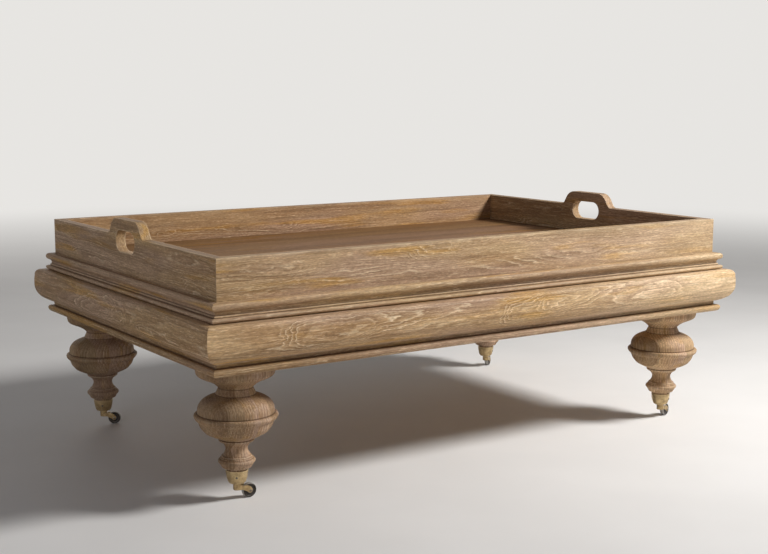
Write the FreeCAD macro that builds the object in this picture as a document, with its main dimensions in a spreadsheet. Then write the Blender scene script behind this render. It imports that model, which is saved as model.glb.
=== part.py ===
"""Tray-top coffee table: a lift-off tray in a moulded rim, on four turned legs with cup casters.

Frame: the origin is on the floor under the middle of the table, +X runs along the length to
the right, +Y runs away from the front, and +Z points up. All sizes are in millimetres.
"""

import FreeCAD
import Part
import Sketcher
import math
import os

from FreeCAD import Placement, Rotation, Vector

# Driving sizes, written once into the sheet
SIZES = {
    # Tray, which lifts out of the rim
    "tray_length": 1414.0,
    "tray_width": 912.0,
    "tray_wall_height": 110.7,
    "tray_wall_thickness": 24.0,
    "tray_floor_drop": 74.5,
    "tray_floor_thickness": 12.0,
    "tray_groove_depth": 8.0,
    "tray_tongue_thickness": 6.0,
    "batten_width": 60.0,
    "batten_spacing": 430.0,
    # Raised handles on the two end boards
    "handle_rise": 37.5,
    "handle_flat_length": 104.0,
    "handle_foot_length": 204.0,
    "handle_slot_length": 108.0,
    "handle_slot_height": 49.0,
    "handle_slot_drop": 13.0,
    # Rim, measured outwards from the face of the tray
    "rim_gap": 2.0,
    "top_moulding_reach": 19.0,
    "top_moulding_height": 42.0,
    "frieze_reach": 43.0,
    "frieze_height": 82.0,
    "frieze_inset": 12.0,
    "base_moulding_reach": 17.5,
    "base_moulding_height": 27.0,
    # Inside the rim
    "deck_thickness": 18.0,
    "rail_width": 40.0,
    "rail_height": 60.0,
    "rail_spacing": 480.0,
    # Turned legs
    "leg_top_height": 289.0,
    "leg_inset_long": 83.0,
    "leg_inset_wide": 85.0,
    "leg_cap_radius": 84.0,
    "leg_cap_height": 21.0,
    "leg_neck_radius": 36.5,
    "leg_ball_radius": 81.0,
    "leg_bead_radius": 88.6,
    "leg_cove_radius": 23.3,
    "leg_ring_radius": 39.4,
    "leg_foot_radius": 27.5,
    "leg_shoulder_height": 67.5,
    # Brass casters: cup, fork and wheel
    "cup_rim_radius": 24.3,
    "cup_base_radius": 19.2,
    "cup_rim_height": 65.0,
    "cup_base_height": 32.0,
    "cup_wall": 2.2,
    "cup_base_thickness": 3.2,
    "cup_inside_height": 8.0,
    "swivel_pin_radius": 3.0,
    "swivel_head_radius": 5.5,
    "swivel_head_height": 2.0,
    "bolster_radius": 8.7,
    "bolster_height": 11.2,
    "fork_trail": 27.2,
    "fork_arm_thickness": 1.9,
    "fork_tip_radius": 5.0,
    "wheel_radius": 15.9,
    "wheel_width": 12.0,
    "wheel_edge": 2.0,
    "wheel_boss_radius": 6.6,
    "wheel_boss_rise": 0.4,
    "axle_radius": 2.0,
    "axle_head_radius": 3.2,
    "axle_head_height": 0.9,
    # Bolts that hold the legs to the corner blocks
    "leg_bolt_radius": 4.0,
    "leg_bolt_depth": 45.0,
    "leg_bolt_stand": 12.0,
    "washer_radius": 12.0,
    "washer_thickness": 2.0,
    "nut_flats": 13.0,
    "nut_height": 6.5,
    # Fits and clearances
    "seat_gap": 0.3,
    "glue_gap": 0.2,
    "running_gap": 0.08,
    "wheel_side_gap": 0.3,
    "fork_throat_gap": 0.9,
    "cut_overrun": 5.0,
    # Rest directions of the casters, in degrees from +X
    "front_left_turn": -2.0,
    "front_right_turn": 20.0,
    "back_left_turn": -29.0,
    "back_right_turn": 38.0,
}

# Outlines as shares. A third number is how far the next side bows, as a share of its length.
# Top moulding: across its depth from the tray gap, and up its height
TOP_MOULDING_SHARES = [
    (0.0, 0.0),
    (0.56, 0.0),
    (0.56, 0.04),
    (0.76, 0.04, 0.46),
    (0.76, 0.265),
    (0.50, 0.265),
    (0.50, 0.37),
    (0.38, 0.37, -0.22),
    (0.62, 0.62, 0.41),
    (0.58, 1.0),
    (0.0, 1.0),
]
# Frieze: outwards from the tray face, and up its height
FRIEZE_SHARES = [
    (0.21, 0.0, 0.05),
    (0.745, 0.16, 0.10),
    (1.0, 0.55, 0.03),
    (0.975, 0.805, 0.20),
    (0.72, 1.0),
]
# Base moulding: outwards from the tray face, and up its height
BASE_MOULDING_SHARES = [
    (0.45, 0.0, 0.17),
    (0.99, 0.33, 0.20),
    (0.74, 0.63),
    (0.31, 0.63),
    (0.31, 1.0),
]
# Leg under its cap: shares of the cap's radius, and of the turning's height down from the cap
CAP_SHARES = [(0.94, 0.015), (0.66, 0.052)]
# Leg below that: shares of a radius in the sheet, and of the turning's height up from its shoulder
NECK_SHARES = [(1.07, 0.803), (1.0, 0.790), (1.14, 0.734), (1.15, 0.724)]
BALL_SHARES = [(0.54, 0.724, 0.15), (1.0, 0.587), (1.0, 0.545)]
BEAD_SHARES = [(0.933, 0.545, 0.405), (0.933, 0.479)]
BOWL_SHARES = [(0.995, 0.470, 0.12), (0.56, 0.318)]
COVE_SHARES = [(1.55, 0.297), (1.62, 0.284, -0.16), (1.0, 0.201, -0.10), (1.25, 0.138)]
RING_SHARES = [
    (0.83, 0.130), (0.83, 0.117), (0.89, 0.113), (0.89, 0.102), (0.945, 0.099, 0.23), (0.93, 0.054)]
# Crown of a handle: out from the flat's end to the foot, and up the rise
CROWN_SHARES = [(0.0, 1.0, 0.13), (0.62, 0.43), (0.76, 0.15, -0.10), (1.0, 0.0)]
# Caster cup's tapered foot: share of the base radius, and share of the height
CUP_FOOT_SHARES = (0.78, 0.18)
# Fork arm's heel, as a share of the bolster's radius, and how far its lower edge bows
ARM_HEEL_SHARES = (0.9, -0.06)
# Fork arm's tip and top: shares of the trail and of the tip's radius out, and of that radius up
ARM_TIP_SHARES = [(1.0, -0.4, -0.92, 0.24), (1.0, 0.92, 0.4, 0.16), (0.66, 0.0, 2.5), (0.0, 0.0, 2.8)]
# Flat end of an axle's head, as a share of the head's radius
AXLE_END_SHARE = 0.6

CORNERS = {
    "front_left": (-1, -1),
    "front_right": (1, -1),
    "back_left": (-1, 1),
    "back_right": (1, 1),
}
# A quarter circle's bow, as a share of the distance between its ends
QUARTER_BOW_SHARE = math.tan(math.radians(22.5)) / 2
# Each side of the rim is drawn as the front and turned into its place, in degrees
SIDES = {"front": 0, "right": 90, "back": 180, "left": 270}


class Size:
    """A number with the sheet expression that gives it."""

    def __init__(self, value, text):
        self.value = float(value)
        self.text = text

    def joined(self, other, sign, value):
        return Size(value, f"({self.text} {sign} {other.text})")

    def __add__(self, other):
        other = as_size(other)
        return self.joined(other, "+", self.value + other.value)

    def __sub__(self, other):
        other = as_size(other)
        return self.joined(other, "-", self.value - other.value)

    def __mul__(self, other):
        other = as_size(other)
        return self.joined(other, "*", self.value * other.value)

    def __truediv__(self, other):
        other = as_size(other)
        return self.joined(other, "/", self.value / other.value)

    def __neg__(self):
        return Size(-self.value, f"(0 - {self.text})")

    __radd__ = __add__
    __rmul__ = __mul__


def as_size(number):
    return number if isinstance(number, Size) else Size(number, repr(float(number)))


def root(size):
    return Size(math.sqrt(size.value), f"sqrt({size.text})")


def cosine(angle):
    return Size(math.cos(math.radians(angle.value)), f"cos({angle.text})")


def sine(angle):
    return Size(math.sin(math.radians(angle.value)), f"sin({angle.text})")


doc = FreeCAD.newDocument("TrayTopCoffeeTable")
sheet = doc.addObject("Spreadsheet::Sheet", "Sizes")
for row, (alias, number) in enumerate(SIZES.items(), start=1):
    sheet.set(f"A{row}", alias)
    sheet.set(f"B{row}", str(number))
    sheet.setAlias(f"B{row}", alias)
doc.recompute()

ZERO = as_size(0)
NODES = []


def size(alias):
    return Size(SIZES[alias], f"Sizes.{alias}")


def place(item, x=ZERO, y=ZERO, z=ZERO, turn=0.0):
    """Puts an item at a point, turned about the upright axis."""
    item.Placement = Placement(Vector(x.value, y.value, z.value), Rotation(Vector(0, 0, 1), turn))
    item.setExpression("Placement.Base.x", x.text)
    item.setExpression("Placement.Base.y", y.text)
    item.setExpression("Placement.Base.z", z.text)


def new_body(label):
    body = doc.addObject("PartDesign::Body", label)
    body.Label = label
    NODES.append(body)
    return body


def origin_part(body, role):
    return next(item for item in body.Origin.OriginFeatures if item.Role == role)


def arc_radius(start, end, bow):
    """Radius of an arc whose height is a share of the distance between its ends."""
    across = end[0] - start[0]
    up = end[1] - start[1]
    return root(across * across + up * up) * ((1 + 4 * bow * bow) / (8 * abs(bow)))


def draw(body, name, plane, outlines, offset=None):
    """Adds a sketch on one of the body's origin planes. An outline is a list of corners
    (across, up) or (across, up, bow of the side that follows), or a circle (x, y, radius)."""
    sketch = body.newObject("Sketcher::SketchObject", name)
    sketch.AttachmentSupport = [(origin_part(body, plane), "")]
    sketch.MapMode = "FlatFace"
    if offset is not None:
        sketch.setExpression("AttachmentOffset.Base.z", offset.text)
    rules = []
    texts = []

    def rule(kind, *words, text=None):
        rules.append(Sketcher.Constraint(kind, *words))
        texts.append(text)

    for outline in outlines:
        if isinstance(outline, tuple):
            x, y, radius = outline
            centre = Vector(x.value, y.value, 0)
            side = sketch.addGeometry(Part.Circle(centre, Vector(0, 0, 1), radius.value), False)
            rule("DistanceX", side, 3, x.value, text=x.text)
            rule("DistanceY", side, 3, y.value, text=y.text)
            rule("Radius", side, radius.value, text=radius.text)
            continue
        sides = []
        for number, corner in enumerate(outline):
            start = (as_size(corner[0]), as_size(corner[1]))
            after = outline[(number + 1) % len(outline)]
            end = (as_size(after[0]), as_size(after[1]))
            bow = corner[2] if len(corner) > 2 else 0
            first = Vector(start[0].value, start[1].value, 0)
            last = Vector(end[0].value, end[1].value, 0)
            ends = (1, 2)
            if bow:
                step = last - first
                middle = (first + last) * 0.5 + Vector(step.y, -step.x, 0) * bow
                side = sketch.addGeometry(Part.Arc(first, middle, last), False)
                if (sketch.getPoint(side, 1) - first).Length > (sketch.getPoint(side, 2) - first).Length:
                    ends = (2, 1)
                radius = arc_radius(start, end, bow)
                rule("Radius", side, radius.value, text=radius.text)
            else:
                side = sketch.addGeometry(Part.LineSegment(first, last), False)
            rule("DistanceX", side, ends[0], start[0].value, text=start[0].text)
            rule("DistanceY", side, ends[0], start[1].value, text=start[1].text)
            sides.append((side, ends))
        for number, (side, ends) in enumerate(sides):
            following, next_ends = sides[(number + 1) % len(sides)]
            rule("Coincident", side, ends[1], following, next_ends[0])
    first_rule = sketch.ConstraintCount
    sketch.addConstraint(rules)
    for number, text in enumerate(texts):
        if text is not None:
            sketch.setExpression(f"Constraints[{first_rule + number}]", text)
    return sketch


def pad(body, name, sketch, length, side="One side", reverse=False):
    feature = body.newObject("PartDesign::Pad", name)
    feature.Profile = sketch
    feature.SideType = side
    feature.Reversed = reverse
    feature.setExpression("Length", length.text)
    return feature


def pocket(body, name, sketch, length=None, side="One side", reverse=False):
    feature = body.newObject("PartDesign::Pocket", name)
    feature.Profile = sketch
    feature.SideType = side
    feature.Reversed = reverse
    if length is None:
        feature.Type = "ThroughAll"
    else:
        feature.setExpression("Length", length.text)
    return feature


def revolve(body, name, sketch, axis="V_Axis"):
    feature = body.newObject("PartDesign::Revolution", name)
    feature.Profile = sketch
    feature.ReferenceAxis = (sketch, [axis])
    feature.Angle = 360
    return feature


def clockwise(outline):
    """Keeps an outline's bows outwards when its corners run clockwise."""
    return [(corner[0], corner[1]) + tuple(-bow for bow in corner[2:]) for corner in outline]


def rectangle(left, bottom, right, top):
    return [(left, bottom), (right, bottom), (right, top), (left, top)]


def group(label, members):
    """Identical pieces, kept as separate solids of one node."""
    compound = doc.addObject("Part::Compound", label)
    compound.Label = label
    compound.Links = members
    NODES.append(compound)
    return compound


# Heights of the rim, from the floor up
leg_top = size("leg_top_height")
frieze_bottom = leg_top + size("base_moulding_height")
frieze_top = frieze_bottom + size("frieze_height")
moulding_top = frieze_top + size("top_moulding_height")
deck_top = frieze_top + size("deck_thickness")
tray_bottom = deck_top + size("seat_gap")
tray_top = tray_bottom + size("tray_wall_height")
floor_top = tray_top - size("tray_floor_drop")
floor_bottom = floor_top - size("tray_floor_thickness")
tongue_top = floor_bottom + size("tray_tongue_thickness")

# The tray's faces, halved, which the whole rim is measured from
half_length = size("tray_length") / 2
half_width = size("tray_width") / 2
overrun = size("cut_overrun")
glue_gap = size("glue_gap")


def side_frame(side):
    """Half length along a side of the rim, and the distance of the tray's face from the middle."""
    if side in ("front", "back"):
        return half_length, half_width
    return half_width, half_length


def mitre_cut(body, along, face, reach, inset):
    """Cuts both ends of a board at 45 degrees, through the tray's corners."""
    depth = reach + inset + overrun
    loops = []
    for hand in (-1, 1):
        far = (along + reach + overrun) * hand
        near = (along + reach + overrun - depth - overrun) * hand
        outside = -(face + reach + overrun)
        inside = outside + depth + overrun
        loops.append([(far, outside), (far, inside), (near, inside)])
    sketch = draw(body, body.Label + "_mitre_sketch", "XY_Plane", loops)
    return pocket(body, body.Label + "_mitres", sketch, side="Symmetric")


def rim_board(label, side, section, reach, inset):
    """A length of board or moulding on one side of the rim, mitred at both ends.
    The section's corners are (outwards from the tray's face, height)."""
    along, face = side_frame(side)
    body = new_body(label)
    corners = [(-(face + corner[0]), corner[1]) + tuple(corner[2:]) for corner in section]
    sketch = draw(body, label + "_section", "YZ_Plane", [clockwise(corners)])
    pad(body, label + "_board", sketch, (along + reach) * 2, side="Symmetric")
    mitre_cut(body, along, face, reach, inset)
    place(body, turn=SIDES[side])
    return body


def share_point(shares, across, up, across_start=ZERO, up_start=ZERO):
    """Turns the shares of an outline's corner into sizes."""
    return (across_start + across * shares[0], up_start + up * shares[1]) + tuple(shares[2:])


# Tray
wall = size("tray_wall_thickness")
groove = size("tray_groove_depth")
wall_section = [
    (ZERO, tray_bottom),
    (ZERO, tray_top),
    (-wall, tray_top),
    (-wall, tongue_top + glue_gap),
    (groove - wall, tongue_top + glue_gap),
    (groove - wall, floor_bottom - glue_gap),
    (-wall, floor_bottom - glue_gap),
    (-wall, tray_bottom),
]


def handle_outline():
    """The crown above the tray's edge, symmetrical about the middle of the end."""
    rise = size("handle_rise")
    flat = size("handle_flat_length") / 2
    spread = size("handle_foot_length") / 2 - flat
    right = [share_point(shares, spread, rise, flat, tray_top) for shares in CROWN_SHARES]
    outline = [(-corner[0], corner[1]) for corner in right[:1]] + right
    for number in range(len(right) - 1, 0, -1):
        bows = right[number - 1][2:]
        outline.append((-right[number][0], right[number][1]) + tuple(bows))
    below = tray_top - overrun
    foot = size("handle_foot_length") / 2
    outline.insert(len(right) + 1, (foot, below))
    outline.insert(len(right) + 2, (-foot, below))
    return clockwise(outline)


def slot_outline():
    """A hand slot with round ends, centred a little below the tray's edge."""
    end = size("handle_slot_height") / 2
    straight = size("handle_slot_length") / 2 - end
    middle = tray_top - size("handle_slot_drop")
    return [
        (-straight, middle - end),
        (straight, middle - end, QUARTER_BOW_SHARE),
        (straight + end, middle, QUARTER_BOW_SHARE),
        (straight, middle + end),
        (-straight, middle + end, QUARTER_BOW_SHARE),
        (-straight - end, middle, QUARTER_BOW_SHARE),
    ]


def tray_wall(side):
    label = f"tray_{side}_board" if side in ("front", "back") else f"tray_{side}_end"
    body = rim_board(label, side, wall_section, ZERO, wall)
    if side in ("left", "right"):
        face = side_frame(side)[1]
        crown = draw(body, label + "_crown_sketch", "XZ_Plane", [handle_outline()], offset=face)
        pad(body, label + "_crown", crown, wall, reverse=True)
        slot = draw(body, label + "_slot_sketch", "XZ_Plane", [slot_outline()], offset=face)
        pocket(body, label + "_slot", slot, wall * 2 + overrun, side="Symmetric")
    return body


for side_name in SIDES:
    tray_wall(side_name)

# The floor has a thinner tongue round its edge, which sits in the grooves of the walls
tray_floor = new_body("tray_floor")
for part, reach, bottom, top in (
        ("tongue", groove - wall - glue_gap, floor_bottom, tongue_top),
        ("field", -wall - glue_gap, floor_bottom, floor_top)):
    edge_x = half_length + reach
    edge_y = half_width + reach
    sketch = draw(tray_floor, f"tray_floor_{part}_sketch", "XY_Plane",
                  [rectangle(-edge_x, -edge_y, edge_x, edge_y)], offset=bottom)
    pad(tray_floor, f"tray_floor_{part}", sketch, top - bottom)


batten_inside = half_width - wall - glue_gap
for number, hand in enumerate((-1, 0, 1), start=1):
    batten = new_body(f"tray_batten_{number}")
    middle = size("batten_spacing") * hand
    half = size("batten_width") / 2
    batten_sketch = draw(
        batten, batten.Label + "_sketch", "XY_Plane",
        [rectangle(middle - half, -batten_inside, middle + half, batten_inside)], offset=tray_bottom)
    pad(batten, batten.Label + "_bar", batten_sketch, floor_bottom - tray_bottom)

# Rim: base moulding, frieze and top moulding on each side
rim_gap = size("rim_gap")
inset = size("frieze_inset")


def frieze_section():
    outline = [(-inset, frieze_bottom)]
    outline += [
        share_point(shares, size("frieze_reach"), size("frieze_height"), ZERO, frieze_bottom)
        for shares in FRIEZE_SHARES]
    return outline + [(-inset, frieze_top)]


def top_moulding_section():
    return [
        share_point(shares, size("top_moulding_reach") - rim_gap, size("top_moulding_height"),
                    rim_gap, frieze_top)
        for shares in TOP_MOULDING_SHARES]


def base_moulding_section():
    outline = [(ZERO, leg_top)]
    outline += [
        share_point(shares, size("base_moulding_reach"), size("base_moulding_height"), ZERO, leg_top)
        for shares in BASE_MOULDING_SHARES]
    return outline + [(ZERO, frieze_bottom)]


for side_name in SIDES:
    rim_board(f"frieze_{side_name}", side_name, frieze_section(), size("frieze_reach"), inset)
for side_name in SIDES:
    rim_board(f"top_moulding_{side_name}", side_name, top_moulding_section(),
              size("top_moulding_reach"), ZERO)
for side_name in SIDES:
    rim_board(f"base_moulding_{side_name}", side_name, base_moulding_section(),
              size("base_moulding_reach"), ZERO)

deck = new_body("deck_panel")
deck_x = half_length + rim_gap - glue_gap
deck_y = half_width + rim_gap - glue_gap
deck_sketch = draw(deck, "deck_sketch", "XY_Plane", [rectangle(-deck_x, -deck_y, deck_x, deck_y)],
                   offset=frieze_top)
pad(deck, "deck_board", deck_sketch, size("deck_thickness"))

for number, hand in enumerate((-1, 1), start=1):
    rail = new_body(f"cross_rail_{number}")
    middle = size("rail_spacing") / 2 * hand
    half = size("rail_width") / 2
    end = half_width - inset - glue_gap
    rail_sketch = draw(
        rail, rail.Label + "_sketch", "XY_Plane",
        [rectangle(middle - half, -end, middle + half, end)], offset=frieze_top - size("rail_height"))
    pad(rail, rail.Label + "_bar", rail_sketch, size("rail_height"))

# Legs, with the blocks and bolts that hold them
shoulder = size("leg_shoulder_height")
turning = leg_top - shoulder
cup_reach = size("cup_rim_height") - size("cup_base_height")
cup_taper = size("cup_rim_radius") - size("cup_base_radius")
tenon_bottom = size("cup_base_height") + size("cup_inside_height")


def cup_radius(height):
    """Outer radius of the cup at a height, on the straight taper between base and rim."""
    return size("cup_base_radius") + cup_taper * (height - size("cup_base_height")) / cup_reach


def tenon_radius(height):
    return cup_radius(height) - size("cup_wall") - glue_gap


def leg_outline():
    """Half of the turned leg, from its axis at the top round to its tenon."""
    cap = size("leg_cap_radius")
    cap_bottom = leg_top - size("leg_cap_height")
    outline = [(ZERO, leg_top), (cap, leg_top), (cap, cap_bottom)]
    outline += [share_point(shares, cap, -turning, ZERO, cap_bottom) for shares in CAP_SHARES]
    for alias, table in (
            ("leg_neck_radius", NECK_SHARES), ("leg_ball_radius", BALL_SHARES),
            ("leg_bead_radius", BEAD_SHARES), ("leg_ball_radius", BOWL_SHARES),
            ("leg_cove_radius", COVE_SHARES), ("leg_ring_radius", RING_SHARES)):
        outline += [share_point(shares, size(alias), turning, ZERO, shoulder) for shares in table]
    outline += [
        (size("leg_foot_radius"), shoulder),
        (tenon_radius(shoulder), shoulder),
        (tenon_radius(tenon_bottom), tenon_bottom),
        (ZERO, tenon_bottom),
    ]
    return clockwise(outline)


def leg_axis(corner):
    """Place of a leg, set in from the faces of the tray."""
    across, back = CORNERS[corner]
    x = (half_length - size("leg_inset_long")) * across
    y = (half_width - size("leg_inset_wide")) * back
    return x, y


block_top = leg_top + size("base_moulding_height")
bolts = []
washers = []
nuts = []


def cylinder(name, radius, height, z, x, y):
    item = doc.addObject("Part::Cylinder", name)
    item.setExpression("Radius", radius.text)
    item.setExpression("Height", height.text)
    place(item, x, y, z)
    return item


def make_leg(corner):
    leg = new_body(f"leg_{corner}")
    revolve(leg, leg.Label + "_turning", draw(leg, leg.Label + "_outline", "XZ_Plane", [leg_outline()]))
    bore = [(ZERO, ZERO, size("leg_bolt_radius") + glue_gap / 2)]
    bore_sketch = draw(leg, leg.Label + "_bore_sketch", "XY_Plane", bore, offset=leg_top)
    pocket(leg, leg.Label + "_bore", bore_sketch, size("leg_bolt_depth") + glue_gap)
    place(leg, *leg_axis(corner))


def cup_outline():
    """Half section of the cup: a tapered wall on a floor with a hole for the swivel pin."""
    base = size("cup_base_height")
    wall_in = size("cup_wall")
    inner_base = base + size("cup_base_thickness")
    hole = size("swivel_pin_radius") + size("running_gap")
    rim = size("cup_rim_radius")
    rim_height = size("cup_rim_height")
    foot_share, height_share = CUP_FOOT_SHARES
    foot = size("cup_base_radius") * foot_share
    foot_height = base + cup_reach * height_share
    return [
        (hole, base),
        (foot, base),
        (cup_radius(foot_height), foot_height),
        (rim, rim_height),
        (rim - wall_in, rim_height),
        (cup_radius(foot_height) - wall_in, foot_height),
        (foot, inner_base),
        (hole, inner_base),
    ]


def make_cup(corner):
    cup = new_body(f"caster_cup_{corner}")
    revolve(cup, cup.Label + "_spinning", draw(cup, cup.Label + "_outline", "XZ_Plane", [cup_outline()]))
    place(cup, *leg_axis(corner))


def make_block(corner):
    """A block under the frieze's inner edge, centred over the leg that is bolted to it."""
    across, back = CORNERS[corner]
    block = new_body(f"corner_block_{corner}")
    outer_x = (half_length - glue_gap) * across
    outer_y = (half_width - glue_gap) * back
    inner_x = (half_length - size("leg_inset_long") * 2) * across
    inner_y = (half_width - size("leg_inset_wide") * 2) * back
    outline = [(outer_x, outer_y), (inner_x, outer_y), (inner_x, inner_y), (outer_x, inner_y)]
    block_sketch = draw(block, block.Label + "_sketch", "XY_Plane", [outline], offset=leg_top)
    pad(block, block.Label + "_slab", block_sketch, size("base_moulding_height"))
    hole = leg_axis(corner) + (size("leg_bolt_radius") + seat_gap,)
    bolt_sketch = draw(block, block.Label + "_bolt_sketch", "XY_Plane", [hole], offset=leg_top)
    pocket(block, block.Label + "_bolt_hole", bolt_sketch, side="Symmetric")


def hexagon_nut(name, x, y, z):
    """A six-sided nut with a plain bore."""
    prism = doc.addObject("Part::Prism", name + "_prism")
    prism.Polygon = 6
    prism.setExpression("Circumradius", (size("nut_flats") / root(as_size(3))).text)
    prism.setExpression("Height", size("nut_height").text)
    place(prism, x, y, z)
    hole = cylinder(name + "_hole", size("leg_bolt_radius") + glue_gap / 2, size("nut_height"), z, x, y)
    nut = doc.addObject("Part::Cut", name)
    nut.Base = prism
    nut.Tool = hole
    return nut


def plain_washer(name, x, y, z):
    disc = cylinder(name + "_disc", size("washer_radius"), size("washer_thickness"), z, x, y)
    hole = cylinder(name + "_hole", size("leg_bolt_radius") + glue_gap / 2, size("washer_thickness"), z, x, y)
    washer = doc.addObject("Part::Cut", name)
    washer.Base = disc
    washer.Tool = hole
    return washer


seat_gap = size("seat_gap")
for corner in CORNERS:
    make_leg(corner)
    make_cup(corner)
    make_block(corner)
    x, y = leg_axis(corner)
    bolt_length = size("leg_bolt_depth") + size("base_moulding_height") + size("leg_bolt_stand")
    bolts.append(cylinder(
        f"leg_bolt_{corner}", size("leg_bolt_radius"), bolt_length, leg_top - size("leg_bolt_depth"), x, y))
    washers.append(plain_washer(f"leg_washer_{corner}", x, y, block_top))
    nuts.append(hexagon_nut(f"leg_nut_{corner}", x, y, block_top + size("washer_thickness")))
group("leg_bolts", bolts)
group("leg_washers", washers)
group("leg_nuts", nuts)

# Casters: a fork that swivels under each cup, and a wheel that rolls on its axle
trail = size("fork_trail")
wheel_radius = size("wheel_radius")
slot_half = size("wheel_width") / 2 + size("wheel_boss_rise") + size("wheel_side_gap")
fork_half = slot_half + size("fork_arm_thickness")


def bolster_outline():
    """Half section of the bolster with the swivel pin and its head above it."""
    top = size("cup_base_height") - seat_gap
    bottom = top - size("bolster_height")
    radius = size("bolster_radius")
    pin = size("swivel_pin_radius")
    head = size("swivel_head_radius")
    head_bottom = size("cup_base_height") + size("cup_base_thickness") + seat_gap
    head_top = head_bottom + size("swivel_head_height")
    edge = size("fork_arm_thickness") / 2
    return [
        (ZERO, bottom),
        (radius - edge, bottom),
        (radius, bottom + edge),
        (radius, top),
        (pin, top),
        (pin, head_bottom),
        (head, head_bottom),
        (head, head_top),
        (ZERO, head_top),
    ]


def arm_outline():
    """Side view of the fork's arms, from the bolster out to the axle."""
    bolster_bottom = size("cup_base_height") - seat_gap - size("bolster_height")
    tip = size("fork_tip_radius")
    heel_share, heel_bow = ARM_HEEL_SHARES
    outline = [(ZERO, bolster_bottom), (size("bolster_radius") * heel_share, bolster_bottom, heel_bow)]
    for trail_share, across_share, up_share, *bow in ARM_TIP_SHARES:
        corner = (trail * trail_share + tip * across_share, wheel_radius + tip * up_share)
        outline.append(corner + tuple(bow))
    return outline


def make_fork(corner, turn):
    fork = new_body(f"caster_fork_{corner}")
    name = fork.Label
    arms = draw(fork, name + "_arm_sketch", "XZ_Plane", [arm_outline()])
    pad(fork, name + "_arms", arms, fork_half * 2, side="Symmetric")
    throat = trail - wheel_radius - size("fork_throat_gap")
    slot = draw(fork, name + "_slot_sketch", "XY_Plane",
                [rectangle(throat, -slot_half, trail + wheel_radius, slot_half)])
    pocket(fork, name + "_slot", slot, side="Symmetric")
    eye = draw(fork, name + "_eye_sketch", "XZ_Plane",
               [(trail, wheel_radius, size("axle_radius") + size("running_gap") / 2)])
    pocket(fork, name + "_eye", eye, side="Symmetric")
    revolve(fork, name + "_bolster", draw(fork, name + "_outline", "XZ_Plane", [bolster_outline()]))
    place(fork, *leg_axis(corner), turn=turn.value)


def axle_outline():
    """Half section of the riveted axle, along its own Y axis."""
    shank = size("axle_radius")
    head = size("axle_head_radius")
    seat = fork_half + size("running_gap")
    end = seat + size("axle_head_height")
    return [
        (ZERO, -end),
        (head * AXLE_END_SHARE, -end),
        (head, -seat),
        (shank, -seat),
        (shank, seat),
        (head, seat),
        (head * AXLE_END_SHARE, end),
        (ZERO, end),
    ]


def wheel_outline():
    """Half section of the wheel: a chamfered tread on a disc with a proud boss."""
    face = size("wheel_width") / 2
    edge = size("wheel_edge")
    boss = size("wheel_boss_radius")
    boss_face = face + size("wheel_boss_rise")
    bore = size("axle_radius") + size("running_gap")
    return [
        (bore, -boss_face),
        (boss, -boss_face),
        (boss, -face),
        (wheel_radius - edge, -face),
        (wheel_radius, edge - face),
        (wheel_radius, face - edge),
        (wheel_radius - edge, face),
        (boss, face),
        (boss, boss_face),
        (bore, boss_face),
    ]


for corner in CORNERS:
    turn = size(f"{corner}_turn")
    make_fork(corner, turn)
    axis_x, axis_y = leg_axis(corner)
    axle_x = axis_x + trail * cosine(turn)
    axle_y = axis_y + trail * sine(turn)
    for kind, outline in (("axle", axle_outline()), ("wheel", wheel_outline())):
        piece = new_body(f"caster_{kind}_{corner}")
        revolve(piece, piece.Label + "_spinning",
                draw(piece, piece.Label + "_outline", "XY_Plane", [outline]))
        place(piece, axle_x, axle_y, wheel_radius, turn.value)

doc.recompute()

problems = [item.Name for item in doc.Objects if "Invalid" in item.State or "Error" in item.State]
problems += [node.Label for node in NODES if node.Shape.isNull() or not node.Shape.isValid()]
if problems:
    raise RuntimeError("These did not build: " + ", ".join(problems))

os.makedirs("parts", exist_ok=True)
for node in NODES:
    node.Shape.exportStep(f"parts/{node.Label}.step")
print(len(NODES), "nodes written")
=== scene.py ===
"""Tray-top coffee table in limed oak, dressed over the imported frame.

All sizes are in metres, in the frame's own axes: +X along the table's length, +Y away from the
front, +Z up. Boards and turnings are rebuilt with eased edges over the sizes of the frame.
"""

import math

import bmesh
import bpy
from mathutils import Matrix, Vector, geometry, noise


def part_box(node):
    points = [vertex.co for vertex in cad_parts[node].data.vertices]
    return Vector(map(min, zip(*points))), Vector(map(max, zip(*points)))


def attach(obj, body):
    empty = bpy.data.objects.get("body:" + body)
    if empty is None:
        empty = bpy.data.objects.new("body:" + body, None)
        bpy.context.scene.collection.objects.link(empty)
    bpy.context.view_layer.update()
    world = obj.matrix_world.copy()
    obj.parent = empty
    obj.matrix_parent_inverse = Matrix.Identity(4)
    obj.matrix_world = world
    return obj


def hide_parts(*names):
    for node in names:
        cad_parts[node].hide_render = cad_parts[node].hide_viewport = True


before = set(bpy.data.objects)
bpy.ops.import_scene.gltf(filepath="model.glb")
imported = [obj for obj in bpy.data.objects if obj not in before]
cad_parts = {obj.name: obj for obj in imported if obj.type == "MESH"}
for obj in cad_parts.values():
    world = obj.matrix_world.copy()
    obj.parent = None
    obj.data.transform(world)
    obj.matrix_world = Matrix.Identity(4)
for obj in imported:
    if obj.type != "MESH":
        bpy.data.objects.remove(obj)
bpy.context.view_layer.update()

# Camera, fitted to the corners, leg axes and wheel contacts in the photograph
CAMERA_PLACE = (-1.8446, -2.7506, 0.866)
CAMERA_YAW = 33.79
CAMERA_PITCH = -8.394
CAMERA_ROLL = 0.09
CAMERA_LENS_MM = 61.12
SENSOR_WIDTH_MM = 36

MM = 0.001
CORNERS = ("front_left", "front_right", "back_left", "back_right")
# Each side of the rim is made as the front and turned into place, in degrees
SIDES = {"front": 0, "right": 90, "back": 180, "left": 270}

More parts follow.
